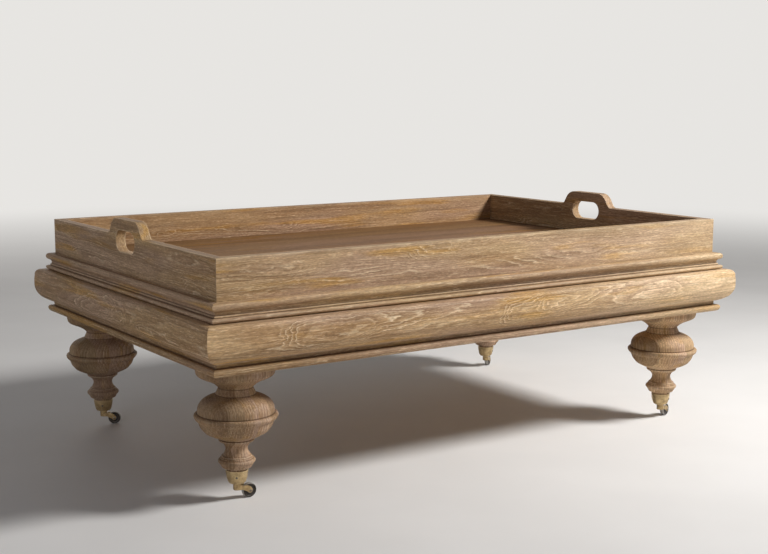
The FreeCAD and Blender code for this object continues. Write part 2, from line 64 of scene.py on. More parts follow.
# How finely outlines are drawn, and how far their corners are rounded
OUTLINE_STEP = 1.6 * MM
FACE_STEP = 12 * MM
RUN_STEP = 18 * MM
ROUNDED_EDGE = 1 * MM
ROUNDED_QUIRK = 0.3 * MM
MITRE_EASE_SHARE = 0.27
MERGE_DISTANCE = 0.001 * MM
CORNER_STEPS = 3
TURNING_STEPS = 112
NORMAL_WEIGHT = 80
# Bends in radians: below the first a corner stays as it is, and at the second it is fully worn
SLIGHT_BEND = 0.2
WORN_BEND = 1.5
WEAR_REACH = 2.2 * MM
# Rounding takes no more than this share of the steps on either side of a corner
LARGEST_CUT = 0.45
# A run of hand work wavers a little, and dips in a groove where its mitres meet
RUN_WAVER = 0.12 * MM
MITRE_GROOVE = 0.35 * MM
# Painted shade lies on faces that look up: how sharply it fades as they lean, and how much the tray has
TOP_SHADE_POWER = 8
TRAY_TOP_SHADE = 0.6

# Outlines run upwards. A third number is how far the next side bows outwards, as a share of its
# length. Top moulding: shares of its depth from the tray gap, and of its height
TOP_MOULDING_SHARES = [
    (0, 0), (0.56, 0), (0.56, 0.04), (0.76, 0.04, 0.46), (0.76, 0.265), (0.5, 0.265),
    (0.5, 0.37), (0.38, 0.37, -0.22), (0.62, 0.62, 0.41), (0.58, 1), (0, 1),
]
# Frieze: shares of its reach from the face of the tray, and of its height
FRIEZE_SHARES = [
    (0.21, 0, 0.05), (0.745, 0.16, 0.1), (1, 0.55, 0.03), (0.975, 0.805, 0.2), (0.72, 1),
]
# Base moulding: shares of its reach, and of its height
BASE_MOULDING_SHARES = [
    (0, 0), (0.45, 0, 0.17), (0.99, 0.33, 0.2), (0.74, 0.63), (0.31, 0.63), (0.31, 1),
    (0, 1),
]
# Right half of a handle's crown: from the flat's end down to the foot, across and up, in
# millimetres from the middle of the tray's top edge. The third number bows the next side
CROWN = [(52, 37.5, 0.13), (83, 16.1), (90, 5.6, -0.1), (102, 0)]
SLOT_LENGTH = 108 * MM
SLOT_HEIGHT = 49 * MM
SLOT_DROP = 13 * MM

# Turned leg: radius and height in millimetres, from the floor up. A smooth line runs through the
# points of a row. Each row starts where the one before ends, and meets it in an edge or a quirk
LEG_ROWS = [
    [(0, 40), (17.9, 40)],
    [(22, 67)], [(22.4, 70.6)], [(31.2, 71.2)],
    [(32.2, 73), (33.8, 76.2), (36.7, 80), (39, 82.8), (39.4, 85.4), (38.9, 87.6), (37, 89.4)],
    [(35, 90)], [(34.5, 92.4)], [(32.7, 93.2)], [(32.1, 96)], [(29.2, 96.8)],
    [(28.2, 98.4), (25.4, 103.6), (23.7, 108.4), (23.3, 112), (24.2, 116), (26.2, 119.8),
     (29.6, 123.4), (34, 126.2), (37, 128.4)],
    [(38, 130.2), (37.4, 131.8)],
    [(35.9, 132.7)], [(39.6, 134.4)],
    [(41.2, 135.6), (45.6, 138), (50, 139.9), (55.4, 142.2), (60.6, 144.9), (65.6, 147.8),
     (69.8, 152.2), (75.8, 160), (80.2, 171), (82.6, 173.8), (86.6, 177.4), (88.6, 182.6),
     (87.2, 186), (84.4, 187.8)],
    [(81, 188.4)],
    [(81.2, 190), (80.9, 194.8), (80.4, 200), (78.8, 204.4), (76.4, 208.8), (72, 214.1),
     (66.2, 218.4), (59.4, 221.8), (51.6, 225), (44.2, 227.8)],
    [(42, 228.4)],
    [(42, 229.6), (41.6, 231.6), (40, 235), (38.4, 238.4), (37.1, 241.8)],
    [(36.5, 242.6)],
    [(38, 244.6), (41.4, 248.2), (46.4, 252.2), (55.4, 257.6), (64.6, 261.9), (71.6, 264.6)],
    [(73, 265.8)],
    [(78.4, 268.2), (82, 272.2), (83.8, 278)],
    [(84, 289)], [(0, 289)],
]
LEG_BEAD_RADIUS = 88.6
LEG_FOOT_HEIGHT = 40
LEG_TOP_HEIGHT = 289

# Caster cup: radius and height in millimetres, up the outside and down the inside
CUP_ROWS = [
    [(3.1, 35), (9.4, 35)],
    [(13.6, 35.3), (16.8, 36.7), (18.8, 39.4), (20.6, 44.4), (22.1, 50.4), (23.2, 57.6),
     (23.9, 62.8), (24.3, 64.2)],
    [(23.9, 65)], [(22.3, 65)],
    [(21.4, 59), (18.6, 43), (17.2, 39.8)],
    [(14.6, 37.4)], [(3.1, 37.4)], [(3.1, 35)],
]
COLLAR_ROWS = [
    [(3.1, 31.6), (8.2, 31.6)], [(8.6, 32.4), (8.5, 33.8), (8, 35)], [(3.1, 35)], [(3.1, 31.6)],
]
CUP_RIM_RADIUS = 24.3
CUP_BASE_HEIGHT = 32
CUP_SCREW_HEIGHT = 52 * MM
CUP_SCREW_OUT = 22.15 * MM
CUP_SCREW_RADIUS = 2.7 * MM
CUP_SCREW_RISE = 1.2 * MM
CUP_SCREW_LEAN = 81
# Direction of the cup's first screw round the leg, in degrees from +X; a second is opposite
CUP_SCREW_TURNS = {"front_left": -119, "back_left": -119, "front_right": -61, "back_right": -61}

# Wheel and axle: radius and place across, in millimetres, from one side to the other
WHEEL_ROWS = [
    [(2.1, -6.4), (5.2, -6.4), (6.2, -6.1), (6.6, -5.4)],
    [(7.4, -4.7), (9, -4.5), (11.2, -4.6), (12.2, -5.2)],
    [(12.8, -6), (13.8, -6), (14.6, -5.5), (15.2, -4.6), (15.7, -3), (15.9, 0), (15.7, 3),
     (15.2, 4.6), (14.6, 5.5), (13.8, 6), (12.8, 6), (12.2, 5.2)],
    [(11.2, 4.6), (9, 4.5), (7.4, 4.7), (6.6, 5.4)],
    [(6.2, 6.1), (5.2, 6.4), (2.1, 6.4)],
    [(2.1, -6.4)],
]
AXLE_ROWS = [
    [(0, -9.48), (1.2, -9.42), (2.3, -9.14), (3, -8.92), (3.2, -8.58)],
    [(2, -8.58)], [(2, 8.58)], [(3.2, 8.58)],
    [(3, 8.92), (2.3, 9.14), (1.2, 9.42), (0, 9.48)],
]
# Directions in which the casters trail at rest, in degrees from +X
CASTER_TURNS = {"front_left": -2, "front_right": 20, "back_left": -29, "back_right": 38}

# Limed oak, in linear colour
OAK = {
    "Base": (0.37, 0.222, 0.104),
    "Pale": (0.47, 0.312, 0.158),
    "Grey": (0.455, 0.3, 0.198),
    "Ochre": (0.5, 0.275, 0.068),
    "Dark": (0.172, 0.092, 0.042),
    "Cream": (0.8, 0.64, 0.43),
}
LEG_OAK = dict(OAK, Ochre=(0.4, 0.235, 0.086))
SOFTWOOD = {
    "Base": (0.43, 0.27, 0.13),
    "Pale": (0.52, 0.36, 0.19),
    "Grey": (0.44, 0.32, 0.19),
    "Ochre": (0.46, 0.26, 0.1),
    "Dark": (0.24, 0.125, 0.05),
    "Cream": (0.56, 0.4, 0.22),
}

# Figures of the grain on each board: place along it and up from its middle, how far the rings
# bulge, length of the short side, half height and lean, in millimetres but for the lean. The
# other side tapers off; a negative length turns the figure round
FIGURES = {
    "tray_front_board": ((-545, 12, 12, 60, 28, 0.05), (-190, 26, 17, -90, 36, 0.08),
                         (-90, 30, 12, -60, 26, 0.08), (300, 0, 7, 110, 26, 0.02)),
    "frieze_front": ((-520, 12, 18, -90, 42, 0.03), (-400, -6, 10, 70, 26, 0.05),
                     (20, -4, 17, -70, 44, 0.14), (130, 14, 12, -60, 34, 0.14),
                     (500, 4, 9, 90, 34, 0.02)),
    "frieze_left": ((20, 6, 15, -60, 44, -0.08), (-60, -2, 13, -50, 38, -0.08),
                    (-180, -14, 12, 70, 26, 0)),
    "tray_left_end": ((-330, -6, 9, 60, 24, 0), (300, -4, 8, 60, 26, 0)),
    "tray_back_board": ((-60, -6, 14, 100, 26, 0), (-420, -8, 10, 80, 22, 0)),
    "frieze_right": ((120, 4, 20, 90, 40, 0.1), (-240, -4, 14, -80, 34, 0.04)),
    "frieze_back": ((-260, 6, 22, 90, 42, 0.08), (380, -4, 16, -90, 38, -0.06)),
    "tray_right_end": ((250, 0, 12, 70, 30, 0.05),),
}
FIGURE_TAIL = 0.15
# Painted light on a front board's far end is full this far along from the middle, and each glued strip
# shifts the figure's seed
PAINTED_LIGHT_REACH = 0.72
STRIP_SEED_STEP = 7.3


# Outlines

def bowed_side(start, end, bow):
    """Points from start up to, but without, the end. A positive bow is to the right of travel."""
    start = Vector(start)
    end = Vector(end)
    travel = end - start
    length = travel.length
    if abs(bow) < 1e-6:
        stops = [0]
        if length > 2.5 * OUTLINE_STEP:
            inside = length - 2 * OUTLINE_STEP
            count = max(1, math.ceil(inside / FACE_STEP))
            stops += [OUTLINE_STEP + inside * number / count for number in range(count + 1)]
        return [start + travel * (stop / length) for stop in stops]
    radius = length * (1 + 4 * bow * bow) / (8 * abs(bow))
    half_angle = 2 * math.atan(2 * abs(bow))
    side = Vector((travel.y, -travel.x)).normalized() * math.copysign(1, bow)
    centre = (start + end) / 2 + side * (abs(bow) * length - radius)
    count = max(3, math.ceil(radius * half_angle * 2 / OUTLINE_STEP))
    spoke = start - centre
    swing = (start - centre).angle_signed(end - centre)
    if 2 * half_angle > math.pi:
        swing -= math.copysign(2 * math.pi, swing)
    points = []
    for number in range(count):
        angle = -swing * number / count
        points.append(centre + Vector((
            spoke.x * math.cos(angle) - spoke.y * math.sin(angle),
            spoke.x * math.sin(angle) + spoke.y * math.cos(angle))))
    return points


def smooth_row(row):
    """Points along a smooth line through a row, up to, but without, its last point."""
    points = [Vector(point) for point in row]
    if len(points) == 2:
        return bowed_side(points[0], points[1], 0)
    padded = [points[0] * 2 - points[1]] + points + [points[-1] * 2 - points[-2]]
    line = []
    for before, start, end, after in zip(padded, padded[1:], padded[2:], padded[3:]):
        count = max(1, math.ceil((end - start).length / OUTLINE_STEP))
        for number in range(count):
            t = number / count
            line.append(0.5 * (
                2 * start + (end - before) * t
                + (2 * before - 5 * start + 4 * end - after) * t * t
                + (3 * start - before - 3 * end + after) * t * t * t))
    return line


def eased(sides, closed):
    """Joins the sides of an outline and rounds the corners where they meet."""
    points = [point for side in sides for point in side]
    corners = set()
    place = 0
    for side in sides:
        corners.add(place)
        place += len(side)
    line = []
    for number, point in enumerate(points):
        inner = closed or 0 < number < len(points) - 1
        if number not in corners or not inner:
            line.append(point)
            continue
        before = points[number - 1] - point
        after = points[(number + 1) % len(points)] - point
        turn = before.cross(after)
        bend = math.pi - before.angle(after)
        if bend < SLIGHT_BEND:
            line.append(point)
            continue
        # The solid lies to the left of travel, so a corner that turns left is an edge
        radius = ROUNDED_EDGE if turn < 0 else ROUNDED_QUIRK
        cut = min(radius * math.tan(bend / 2), LARGEST_CUT * before.length,
                  LARGEST_CUT * after.length)
        first = point + before.normalized() * cut
        last = point + after.normalized() * cut
        for step in range(CORNER_STEPS + 1):
            t = step / CORNER_STEPS
            line.append(first * (1 - t) ** 2 + point * 2 * t * (1 - t) + last * t * t)
    return line


def cornered_outline(corners):
    """A closed outline through corners, each of which may say how the side after it bows."""
    sides = []
    for corner, end in zip(corners, corners[1:] + corners[:1]):
        bow = corner[2] if len(corner) > 2 else 0
        sides.append(bowed_side(corner[:2], end[:2], bow))
    return eased(sides, closed=True)


def share_outline(shares, across, up, across_start, up_start):
    """A closed outline from a table of shares."""
    return cornered_outline([(across_start + across * x, up_start + up * z, *bow)
                             for x, z, *bow in shares])


def row_outline(rows, radius_scale, height_scale, height_start, height_base, closed=False):
    """An open or closed outline from rows of points in millimetres."""
    sides = []
    points = []
    for row in rows:
        points = points[-1:] + [
            (radius * radius_scale, height_base + (height - height_start) * height_scale)
            for radius, height in row]
        sides.append(smooth_row(points))
    if not closed:
        sides[-1].append(Vector(points[-1]))
    return eased(sides, closed)


def wear_of(line, closed):
    """How far each point stands out, from -1 in a quirk to 1 on an edge."""
    count = len(line)
    wears_and_shades = []
    for number, point in enumerate(line):
        ends = []
        for way in (-1, 1):
            place = number
            gone = 0
            while gone < WEAR_REACH and (closed or 0 < place < count - 1):
                gone += (line[(place + way) % count] - line[place]).length
                place = (place + way) % count
            ends.append(line[place])
        before = point - ends[0]
        after = ends[1] - point
        if before.length < 1e-7 or after.length < 1e-7:
            wears_and_shades.append(0)
            continue
        bend = math.atan2(before.cross(after), before.dot(after))
        wears_and_shades.append(max(-1, min(1, bend / WORN_BEND)))
    return wears_and_shades


def normals_of(line):
    """Directions out of the solid at each point of a closed outline that keeps it on the left."""
    normals = []
    for number, after in enumerate(line[1:] + line[:1]):
        travel = after - line[number - 1]
        normals.append(Vector((travel.y, -travel.x)).normalized() if travel.length else Vector((1, 0)))
    return normals


# Pieces

def rotation(degrees, axis, size=4):
    return Matrix.Rotation(math.radians(degrees), size, axis)


def placed(name, data):
    """A new object of the scene."""
    thing = bpy.data.objects.new(name, data)
    bpy.context.scene.collection.objects.link(thing)
    return thing


def even_normals(piece):
    """Lets large faces lead the shading of the eased edges beside them."""
    weighted = piece.modifiers.new("weighted_normals", "WEIGHTED_NORMAL")
    weighted.weight = NORMAL_WEIGHT


def finished_piece(name, maker, wears_and_shades, body, material, replaced=()):
    """Turns a bmesh into a smooth-shaded piece that rides on a body."""
    layer = maker.verts.layers.float.new("wear_and_shade")
    for vertex, wear_and_shade in zip(maker.verts, wears_and_shades):
        vertex[layer] = wear_and_shade
    bmesh.ops.remove_doubles(maker, verts=maker.verts, dist=MERGE_DISTANCE)
    bmesh.ops.recalc_face_normals(maker, faces=maker.faces)
    for face in maker.faces:
        face.smooth = True
    mesh = bpy.data.meshes.new(name)
    maker.to_mesh(mesh)
    maker.free()
    piece = placed(name, mesh)
    even_normals(piece)
    piece.data.materials.append(material)
    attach(piece, body)
    if replaced:
        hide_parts(*replaced)


def mitred_run(name, side, line, material, body, seed, top_shade):
    """A board or moulding along one side, mitred at both ends, with the slightest waver of hand work, a
    fine groove where the mitres meet and painted shade on its upward faces."""
    along, face = side_frame(side)
    normals = normals_of(line)
    # Upward faces take painted shade, which lowers their wear value
    wears_and_shades = [wear_and_shade - top_shade * max(0, normal.y) ** TOP_SHADE_POWER
             for wear_and_shade, normal in zip(wear_of(line, closed=True), normals)]
    count = max(8, math.ceil(2 * along / RUN_STEP))
    # Share of the way from the middle, distance short of the mitre, and depth of the groove
    stations = [(-1, 0, MITRE_GROOVE), (-1, MITRE_GROOVE, 0)]
    stations += [(2 * number / count - 1, 0, 0) for number in range(1, count)]
    stations += [(1, MITRE_GROOVE, 0), (1, 0, MITRE_GROOVE)]
    turn = rotation(SIDES[side], "Z", 3)
    maker = bmesh.new()
    rings = []
    for share, short, sunk in stations:
        ring = []
        for point, normal in zip(line, normals):
            x = share * (along + point.x - short)
            fade = 1 - abs(share) ** 6
            waver = (noise.noise(Vector((x * 4, point.y * 25, seed))) - 1) * RUN_WAVER * fade
            moved = point + normal * (waver - sunk)
            ring.append(maker.verts.new(turn @ Vector((x, -(face + moved.x), moved.y))))
        rings.append(ring)
    bridge(maker, rings)
    maker.faces.new(rings[0])
    maker.faces.new(rings[-1])
    finished_piece(name, maker, wears_and_shades * len(rings), body, material, (name,))


def revolved(maker, line, steps, place):
    """Turns an outline round the Z axis, then puts each vertex in its place with a matrix."""
    rings = []
    for radius, height in line:
        if radius < 1e-6:
            rings.append([maker.verts.new(place @ Vector((0, 0, height)))])
            continue
        ring = []
        for step in range(steps):
            angle = 2 * math.pi * step / steps
            ring.append(maker.verts.new(
                place @ Vector((radius * math.cos(angle), radius * math.sin(angle), height))))
        rings.append(ring)
    return rings


def bridge(maker, rings, closed=False):
    """Faces between neighbouring rings of vertices."""
    pairs = list(zip(rings, rings[1:]))
    if closed:
        pairs.append((rings[-1], rings[0]))
    for ring, following in pairs:
        steps = max(len(ring), len(following))
        for step in range(steps):
            after = (step + 1) % steps
            if len(ring) == 1:
                maker.faces.new((ring[0], following[step], following[after]))
            elif len(following) == 1:
                maker.faces.new((ring[step], ring[after], following[0]))
            else:
                maker.faces.new((ring[step], ring[after], following[after], following[step]))


def turned_piece(name, line, place, steps, body, material, closed=False, replaced=None,
                 wears_and_shades=None):
    """A piece turned from an outline. It stands for the node of its own name unless told."""
    maker = bmesh.new()
    rings = revolved(maker, line, steps, place)
    bridge(maker, rings, closed)
    wears_and_shades = wears_and_shades or wear_of(line, closed)
    spread = [wear_and_shade for ring, wear_and_shade in zip(rings, wears_and_shades) for _ in ring]
    replaced = (name,) if replaced is None else replaced
    finished_piece(name, maker, spread, body, material, replaced)


# Materials

class Shader:
    """Adds nodes to a tree and links them."""

    def __init__(self, tree):
        self.tree = tree

    def feed(self, node, inputs):
        """Links a node's inputs to other nodes, or sets them."""
        for socket, feed in dict(inputs).items():
            if isinstance(feed, bpy.types.NodeSocket):
                self.tree.links.new(feed, node.inputs[socket])
            else:
                node.inputs[socket].default_value = feed

    def node(self, kind, inputs=(), **settings):
        node = self.tree.nodes.new(kind)
        for name, setting in settings.items():
            setattr(node, name, setting)
        self.feed(node, inputs)
        return node

    def object_place(self):
        return self.node("ShaderNodeTexCoord").outputs["Object"]

    def attribute(self, name):
        return self.node("ShaderNodeAttribute", attribute_name=name).outputs["Fac"]

    def chance(self, number):
        """A number from 0 to 1 that changes at random with another."""
        return self.node("ShaderNodeTexWhiteNoise", {"W": number}, noise_dimensions="1D").outputs[0]

    def math(self, operation, first, second=0, clamp=False):
        return self.node("ShaderNodeMath", {0: first, 1: second}, operation=operation,
                         use_clamp=clamp).outputs[0]

    def times(self, first, second, clamp=False):
        return self.math("MULTIPLY", first, second, clamp)

    def plus(self, first, second, clamp=False):
        return self.math("ADD", first, second, clamp)

    def vector(self, operation, first, second=(0, 0, 0)):
        node = self.node("ShaderNodeVectorMath", {0: first, 1: second}, operation=operation)
        return node.outputs["Value"] if operation in ("LENGTH", "DOT_PRODUCT") else node.outputs[0]

    def mix(self, factor, first, second, mode="MIX"):
        inputs = {0: factor, 6: first, 7: second}
        return self.node("ShaderNodeMix", inputs, data_type="RGBA", blend_type=mode).outputs[2]

    def spread(self, feed, low, high, to_low=0, to_high=1):
        """Stretches a range of numbers to another, and holds its ends."""
        inputs = {0: feed, 1: low, 2: high, 3: to_low, 4: to_high}
        return self.node("ShaderNodeMapRange", inputs, interpolation_type="SMOOTHSTEP").outputs[0]

    def noise(self, place, scales, detail=2, roughness=0.5, colour=False):
        scaled = self.vector("MULTIPLY", place, scales)
        inputs = {"Vector": scaled, "Scale": 1, "Detail": detail, "Roughness": roughness}
        return self.node("ShaderNodeTexNoise", inputs).outputs[1 if colour else 0]

    def drift(self, place, scales, reach, detail=2, roughness=0.5):
        """A push that wanders to either side of nought, by up to half the reach."""
        push = self.noise(place, scales, detail, roughness, colour=True)
        return self.vector("MULTIPLY", self.vector("SUBTRACT", push, (0.5, 0.5, 0.5)), reach)


def rgba(colour):
    return tuple(colour) + (1,)


# How the rings wander: changes in a metre along and across the grain, and reach in metres. The
# finer of them follow a wood's quiver
RING_WARPS = (
    ((1, 5, 5), 0.05, False),
    ((4.5, 24, 24), 0.012, False),
    ((16, 90, 90), 0.0034, True),
    ((50, 300, 300), 0.001, True),
)


def wood_group():
    """Wood in grain space: X runs along the grain, and the rings lie round a pith off the board."""
    group = bpy.data.node_groups.new("wood_figure", "ShaderNodeTree")
    for way, kind, names in (
            ("INPUT", "Vector", ("Place", "Pith")),
            ("INPUT", "Float", ("Seed", "Lime", "Spacing", "Quiver", "Stripe", "Streak", "Swell",
                                "PaintedLight", "WearAndShade")),
            ("INPUT", "Color", OAK),
            ("OUTPUT", "Color", ("Color",)),
            ("OUTPUT", "Float", ("Roughness", "Height"))):
        for name in names:
            group.interface.new_socket(name, in_out=way, socket_type="NodeSocket" + kind)
    shader = Shader(group)
    spread, mix, times = shader.spread, shader.mix, shader.times
    source = group.nodes.new("NodeGroupInput").outputs
    place = shader.vector("ADD", source["Place"],
                          shader.vector("MULTIPLY", source["Seed"], (3.17, 1.93, 2.71)))

    # Rings, wandering slowly along the tree and quivering from one to the next
    warped = source["Place"]
    for scales, reach, fine in RING_WARPS:
        drift = shader.drift(place, scales, (0, reach, reach))
        if fine:
            drift = shader.vector("MULTIPLY", drift, source["Quiver"])
        warped = shader.vector("ADD", warped, drift)
    from_pith = shader.vector("SUBTRACT", warped, source["Pith"])
    from_pith = shader.vector("MULTIPLY", from_pith, (0, 1, 1))
    distance = shader.plus(shader.vector("LENGTH", from_pith), source["Swell"])
    rings = shader.math("DIVIDE", distance, source["Spacing"])
    ring = shader.math("FLOOR", rings)
    phase = shader.math("FRACT", rings)
    chance = spread(shader.chance(shader.plus(ring, source["Seed"])), 0, 1, 0.25, 1)
    early = times(spread(phase, 0, 0.07), spread(phase, 0.12, 0.34, 1, 0))
    late = times(spread(phase, 0.4, 0.94), spread(phase, 0.97, 1, 1, 0))

    # Open pores hold the lime in short dashes; fibres streak everything
    curled = shader.vector("ADD", place, shader.drift(place, (24, 45, 45), (0, 9 * MM, 9 * MM)))
    pores = spread(shader.noise(curled, (48, 900, 900)), 0.44, 0.62)
    fibres = shader.noise(curled, (11, 330, 330), 3, 0.6)
    grit = shader.noise(place, (110, 430, 430), 2, 0.6)
    patches = shader.noise(place, (2.6, 17, 17), 3, 0.55)
    strong = spread(shader.noise(place, (9, 70, 70), 3, 0.6), 0.34, 0.54, 0.5, 1)
    figured = times(spread(source["Swell"], 0, 6 * MM), strong)
    washes = spread(shader.noise(place, (3.4, 24, 24), 3, 0.6), 0.38, 0.6, 0.1, 0.85)
    washes = shader.math("MAXIMUM", washes, figured)
    broken = spread(shader.noise(place, (24, 260, 260), 2, 0.6), 0.38, 0.56, 0.25, 1)

    # Tones of the wood: shift of the noise, its changes in a metre along and across the grain and
    # its detail, where the tone starts and where it is full, and its strength
    colour = mix(spread(patches, 0.36, 0.64), source["Base"], source["Pale"])
    for name, shift, scales, detail, low, high, strength in (
            ("Grey", (4.1, 7.7, 1.3), (1.7, 9, 9), 2, 0.44, 0.6, 0.8),
            ("Ochre", (9.4, 2.2, 5.9), (3.4, 34, 34), 2, 0.55, 0.68, 0.8),
            ("Dark", (6.3, 3.8, 2.4), (1.3, 15, 15), 2, 0.48, 0.66, 0.38),
            ("Dark", (1.4, 6.2, 8.9), (3.2, 95, 95), 3, 0.5, 0.68, source["Streak"])):
        tone = shader.noise(shader.vector("ADD", place, shift), scales, detail)
        colour = mix(spread(tone, low, high, 0, strength), colour, source[name])
    # Painted light: the colour pales towards a front board's far end, nearer the lamp
    bleached = mix(0.6, source["Pale"], source["Cream"])
    colour = mix(source["PaintedLight"], colour, bleached)
    late = times(late, washes)
    colour = mix(times(late, source["Stripe"]), colour, source["Dark"])
    dashes = times(early, spread(pores, 0, 1, 0.6, 1))
    dashes = times(dashes, shader.math("MAXIMUM", broken, times(figured, 0.8)))
    lime = times(times(dashes, chance), washes)
    loose = times(pores, spread(fibres, 0.48, 0.66, 0, 0.42))
    lime = times(shader.math("MAXIMUM", lime, loose), source["Lime"], clamp=True)
    colour = mix(lime, colour, source["Cream"])
    tone = times(spread(fibres, 0.25, 0.75, 0.83, 1.15),
                 spread(grit, 0.25, 0.75, 0.8, 1.2))
    colour = mix(1, colour, tone, "MULTIPLY")

    # Edges are rubbed pale. Where the wear attribute runs below nought, in quirks and on faces that look
    # up, the colour darkens: painted shade, and in the quirks old wax as well
    rubbed = spread(shader.noise(place, (16, 60, 60), 3, 0.6), 0.38, 0.6, 0.25, 1)
    edge = times(spread(source["WearAndShade"], 0.15, 0.75, 0, 0.42), rubbed)
    quirk_shade = spread(source["WearAndShade"], -0.7, -0.22, 0.68, 0)
    colour = mix(edge, colour, source["Cream"])
    colour = mix(quirk_shade, colour, mix(0.6, source["Dark"], rgba((0.03, 0.016, 0.008))))

    height = shader.plus(times(late, 0.35), times(fibres, 0.45))
    height = shader.math("SUBTRACT", height, times(lime, 0.3))
    rough = shader.plus(times(lime, 0.16), spread(patches, 0.3, 0.7, 0.58, 0.68))
    shader.node("NodeGroupOutput", {"Color": colour, "Roughness": rough, "Height": height})
    return group


WOOD = wood_group()
# Turns that bring a piece's grain to X
GRAIN_TURNS = {
    "x": (0, 0, 0),
    "y": (0, 0, math.pi / 2),
    "z": (0, math.pi / 2, 0),
}


def new_material(name):
    """A material with an empty node tree and its surface shader."""
    material = bpy.data.materials.new(name)
    material.use_nodes = True
    tree = material.node_tree
    tree.nodes.clear()
    shader = Shader(tree)
    surface = shader.node("ShaderNodeBsdfPrincipled")
    shader.node("ShaderNodeOutputMaterial", {"Surface": surface.outputs[0]})
    return material, shader, surface


def bump(shader, height, strength, depth):
    inputs = {"Strength": strength, "Distance": depth, "Height": height}
    return shader.node("ShaderNodeBump", inputs).outputs[0]


def swell_of(shader, place, figures):
    """How far the rings bulge where the wood shows its figures."""
    drift = shader.drift(place, (9, 30, 30), (0.09, 0, 0.024), 4, 0.6)
    place = shader.vector("ADD", place, drift)
    swell = 0
    for *sizes, lean in figures:
        along, up, bulge, length, height = (size * MM for size in sizes)
        offset = shader.vector("SUBTRACT", place, (along, 0, up))
        ahead = shader.vector("DOT_PRODUCT", offset, (1 / length, 0, 0))
        ahead = shader.math("MAXIMUM", ahead, shader.times(ahead, -FIGURE_TAIL))
        above = shader.vector("DOT_PRODUCT", offset, (-lean / height, 0, 1 / height))
        away = shader.node("ShaderNodeCombineXYZ", {0: ahead, 1: above}).outputs[0]
        away = shader.vector("LENGTH", away)
        swell = shader.plus(shader.spread(away, 0, 1, bulge, 0), swell)
    return swell


def wood(name, grain, centre, pith, seed, lime=1, spacing=3.3 * MM, quiver=1, stripe=0.42,
         streak=0.42, sheen=0.22, colours=OAK, tint=(1, 1, 1), figures=(), bleach=0,
         strips=None):
    """Wood of one board, with its middle in the frame, its grain axis and its pith's place from there,
    across the grain. Painted light pales its far end. Strips, a width and a shift, are what its blank is
    glued up from, side by side along X."""
    material, shader, surface = new_material(name)
    place = shader.vector("SUBTRACT", shader.object_place(), centre)
    board = shader.attribute("board")
    if strips:
        width, shift = strips
        strip = shader.plus(shader.vector("DOT_PRODUCT", place, (1 / width, 0, 0)), shift)
        board = shader.plus(board, shader.times(shader.math("FLOOR", strip), STRIP_SEED_STEP))
    turned = shader.node("ShaderNodeVectorRotate", {"Vector": place, "Rotation": GRAIN_TURNS[grain]},
                         rotation_type="EULER_XYZ", invert=True).outputs[0]
    inputs = {part: rgba(tone * share for tone, share in zip(colour, tint))
              for part, colour in colours.items()}
    inputs.update({"Place": turned, "Pith": (0,) + pith, "Lime": lime, "Spacing": spacing,
                   "Quiver": quiver, "Stripe": stripe, "Streak": streak,
                   "WearAndShade": shader.attribute("wear_and_shade"), "Seed": shader.plus(board, seed)})
    if figures:
        inputs["Swell"] = swell_of(shader, turned, figures)
    # Painted light, paler towards the far end along the grain
    if bleach:
        ahead = shader.vector("DOT_PRODUCT", turned, (1, 0, 0))
        inputs["PaintedLight"] = shader.spread(ahead, 0, PAINTED_LIGHT_REACH, 0, bleach)
    figure = shader.node("ShaderNodeGroup", inputs, node_tree=WOOD).outputs
    colour = figure["Color"]
    if strips:
        shade = shader.spread(shader.chance(inputs["Seed"]), 0.1, 0.9, 0.85, 1.13)
        colour = shader.mix(1, colour, shade, "MULTIPLY")
    shader.feed(surface, {
        "Base Color": colour, "Roughness": figure["Roughness"], "Specular IOR Level": sheen,
        "Normal": bump(shader, figure["Height"], 0.55, 0.45 * MM)})
    return material


def metal(name, bright, dull, roughness, metallic, scale, worn=None):
    """Metal with a mottled skin; where wear is high it shows its worn colour."""
    material, shader, surface = new_material(name)
    place = shader.object_place()
    mottle = shader.noise(place, (scale, scale, scale), 4, 0.6)
    specks = shader.noise(place, (scale * 7, scale * 7, scale * 7))
    wear_and_shade = shader.attribute("wear_and_shade")
    colour = shader.mix(shader.spread(mottle, 0.32, 0.68), rgba(dull), rgba(bright))
    for feed, low, high, at_low, at_high, tone in (
            (specks, 0.56, 0.7, 0, 0.35, rgba(part * 0.5 for part in dull)),
            (wear_and_shade, -0.8, -0.1, 0.75, 0, rgba(part * 0.3 for part in dull)),
            (wear_and_shade, 0.15, 0.9, 0, 0.85, rgba(worn or bright))):
        colour = shader.mix(shader.spread(feed, low, high, at_low, at_high), colour, tone)
    rough = shader.spread(mottle, 0.3, 0.7, roughness + 0.12, roughness - 0.08)
    shader.feed(surface, {"Base Color": colour, "Roughness": rough, "Metallic": metallic,
                          "Normal": bump(shader, specks, 0.25, 0.15 * MM)})
    return material


BRASS = metal("aged_brass", (0.6, 0.45, 0.24), (0.37, 0.26, 0.13), 0.42, 0.75, 90,
              worn=(0.64, 0.49, 0.27))
FORK_BRASS = metal("fork_brass", (0.52, 0.38, 0.19), (0.31, 0.21, 0.1), 0.42, 0.75, 130)
IRON = metal("dark_iron", (0.06, 0.05, 0.042), (0.03, 0.025, 0.021), 0.48, 0.6, 120,
             worn=(0.42, 0.4, 0.37))
AXLE_STEEL = metal("axle_steel", (0.24, 0.2, 0.15), (0.12, 0.1, 0.075), 0.38, 1, 150)
BOLT_STEEL = metal("bolt_steel", (0.56, 0.57, 0.58), (0.34, 0.35, 0.36), 0.38, 1, 80)
SCREW_IRON = metal("screw_iron", (0.16, 0.13, 0.1), (0.07, 0.055, 0.04), 0.45, 0.9, 200,
                   worn=(0.34, 0.29, 0.21))


